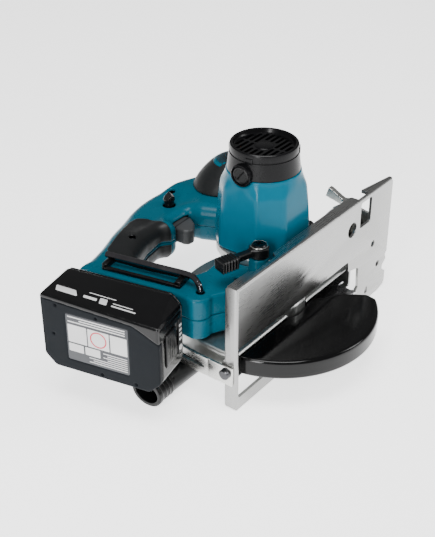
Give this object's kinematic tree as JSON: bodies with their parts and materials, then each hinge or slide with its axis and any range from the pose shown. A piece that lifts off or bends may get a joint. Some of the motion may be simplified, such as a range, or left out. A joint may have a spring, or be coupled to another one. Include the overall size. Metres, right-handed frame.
{
  "type": "circular saw",
  "caption": "Cordless hand-held circular saw with tilting sole plate, swinging blade guard, upright motor and a slide-on battery pack.",
  "frame": {"origin": "centre of the bounding box's bottom face; the saw lies on its blade side with its motor upright", "axes": "+X is the cutting direction, from the battery to the front of the sole; +Y runs from the sole to the handle; +Z runs along the arbor from the blade side to the motor side"},
  "size_m": [0.34, 0.2754, 0.2005],
  "materials": {
    "teal_plastic": "moulded, glossy, fine texture",
    "black_plastic": "moulded, satin",
    "guard_black": "polished black",
    "grip_rubber": "fine-textured soft grip",
    "grey_plastic": "moulded, satin",
    "battery_black": "moulded, semi-gloss",
    "gauge_grey": "satin",
    "cell_wrap": "shrink-wrapped steel cans",
    "cast_aluminium": "as cast, satin",
    "plate_aluminium": "brushed bright sheet",
    "bright_steel": "zinc plated",
    "steel": "machined",
    "dark_steel": "black oxide",
    "blade_steel": "ground, dark coated",
    "dark_chrome": "dark plated",
    "copper": "lacquered windings",
    "carbon": "sintered carbon",
    "clear_lens": "clear moulded lens"
  },
  "bodies": {
    "saw_body": {"housing_right": "teal_plastic", "housing_left": "teal_plastic", "motor_housing": "teal_plastic", "motor_end_cover": "black_plastic", "gear_housing": "cast_aluminium", "upper_guard": "cast_aluminium", "dust_nozzle": "black_plastic", "front_grip": "grip_rubber", "grip_pad_right": "grip_rubber", "grip_pad_left": "grip_rubber", "brush_cap_front": "black_plastic", "brush_cap_rear": "black_plastic", "carbon_brush_front": "carbon", "carbon_brush_rear": "carbon", "field_magnet_front": "dark_steel", "field_magnet_rear": "dark_steel", "motor_yoke": "dark_steel", "motor_bearing_lower": "steel", "motor_bearing_upper": "steel", "spindle_bearing_front": "steel", "spindle_bearing_rear": "steel", "idler_pin": "steel", "guard_spring": "steel", "depth_pivot_pin": "steel", "switch_unit": "grey_plastic", "lamp_lens": "clear_lens", "wrench_clip": "black_plastic", "terminal_block": "grey_plastic"},
    "armature": {"motor_shaft": "steel", "motor_pinion": "steel", "armature_core": "copper", "commutator": "copper", "cooling_fan": "black_plastic"},
    "idler": {"idler_gear": "steel"},
    "blade_spindle": {"spindle": "steel", "drive_gear": "steel", "inner_flange": "steel", "outer_flange": "steel", "blade_bolt": "dark_steel", "saw_blade": "blade_steel"},
    "swing_guard": {"lower_guard": "guard_black", "guard_lever": "black_plastic"},
    "depth_frame": {"front_bracket": "bright_steel", "depth_guide": "cast_aluminium", "bevel_pin_front": "steel", "bevel_pin_rear": "steel"},
    "base": {"base_plate": "plate_aluminium", "bevel_scale_plate": "plate_aluminium"},
    "bevel_clamp": {"bevel_lever": "bright_steel"},
    "depth_clamp": {"depth_lever": "black_plastic", "depth_lever_bolt": "dark_steel"},
    "trigger": {"trigger": "grey_plastic"},
    "lock_off": {"lock_off_button": "black_plastic"},
    "shaft_lock": {"shaft_lock_button": "black_plastic"},
    "battery": {"battery_case": "battery_black", "battery_cover": "battery_black", "battery_cells": "cell_wrap", "battery_gauge": "gauge_grey"},
    "battery_release": {"battery_latch": "battery_black"},
    "wrench": {"hex_wrench": "dark_chrome"}
  },
  "joints": [
    {"name": "blade_spin", "type": "hinge", "parent": "saw_body", "child": "blade_spindle", "pos_m": [0.01259, -0.04581, 0.06], "axis": [0, 0, 1], "continuous": true},
    {"name": "armature_spin", "type": "hinge", "parent": "saw_body", "child": "armature", "pos_m": [0.02695, -0.01488, 0.13], "axis": [0, 0, 1], "continuous": true},
    {"name": "idler_spin", "type": "hinge", "parent": "saw_body", "child": "idler", "pos_m": [0.01735, -0.02025, 0.075], "axis": [0, 0, 1], "continuous": true},
    {"name": "guard_swing", "type": "hinge", "parent": "saw_body", "child": "swing_guard", "pos_m": [0.01259, -0.04581, 0.041], "axis": [0, 0, -1], "range_deg": [0, 112], "stiffness_Nm_per_rad": 0.08, "springref_deg": -34.38},
    {"name": "depth_swing", "type": "hinge", "parent": "saw_body", "child": "depth_frame", "pos_m": [0.12999, -0.03931, 0.06], "axis": [0, 0, 1], "range_deg": [0, 22]},
    {"name": "bevel_tilt", "type": "hinge", "parent": "depth_frame", "child": "base", "pos_m": [0.03099, -0.06331, 0.041], "axis": [1, 0, 0], "range_deg": [0, 45]},
    {"name": "bevel_lever_turn", "type": "hinge", "parent": "depth_frame", "child": "bevel_clamp", "pos_m": [0.15099, -0.03379, 0.08917], "axis": [1, 0, 0], "range_deg": [0, 75]},
    {"name": "depth_lever_turn", "type": "hinge", "parent": "saw_body", "child": "depth_clamp", "pos_m": [-0.01901, -0.04381, 0.12], "axis": [0, 0, -1], "range_deg": [0, 45]},
    {"name": "trigger_press", "type": "slide", "parent": "saw_body", "child": "trigger", "axis": [0, 1, 0], "range_m": [0, 0.006], "stiffness_N_per_m": 300, "springref_m": -0.006},
    {"name": "lock_off_press", "type": "slide", "parent": "saw_body", "child": "lock_off", "axis": [0, 0, -1], "range_m": [0, 0.004], "stiffness_N_per_m": 300, "springref_m": -0.004},
    {"name": "shaft_lock_press", "type": "slide", "parent": "saw_body", "child": "shaft_lock", "axis": [-1, 0, 0], "range_m": [0, 0.0035], "stiffness_N_per_m": 300, "springref_m": -0.004},
    {"name": "battery_slide", "type": "slide", "parent": "saw_body", "child": "battery", "axis": [0.2164, -0.9763, 0], "range_m": [0, 0.033]},
    {"name": "battery_release_press", "type": "slide", "parent": "battery", "child": "battery_release", "axis": [0.9763, 0.2164, 0], "range_m": [0, 0.0035], "stiffness_N_per_m": 300, "springref_m": -0.004},
    {"name": "wrench_pull", "type": "slide", "parent": "saw_body", "child": "wrench", "axis": [0, 0, 1], "range_m": [0, 0.02]}
  ],
  "couplings": [
    {"joint": "armature_spin", "follows": "blade_spin", "ratio": 4.75},
    {"joint": "idler_spin", "follows": "blade_spin", "ratio": -2.7143}
  ]
}
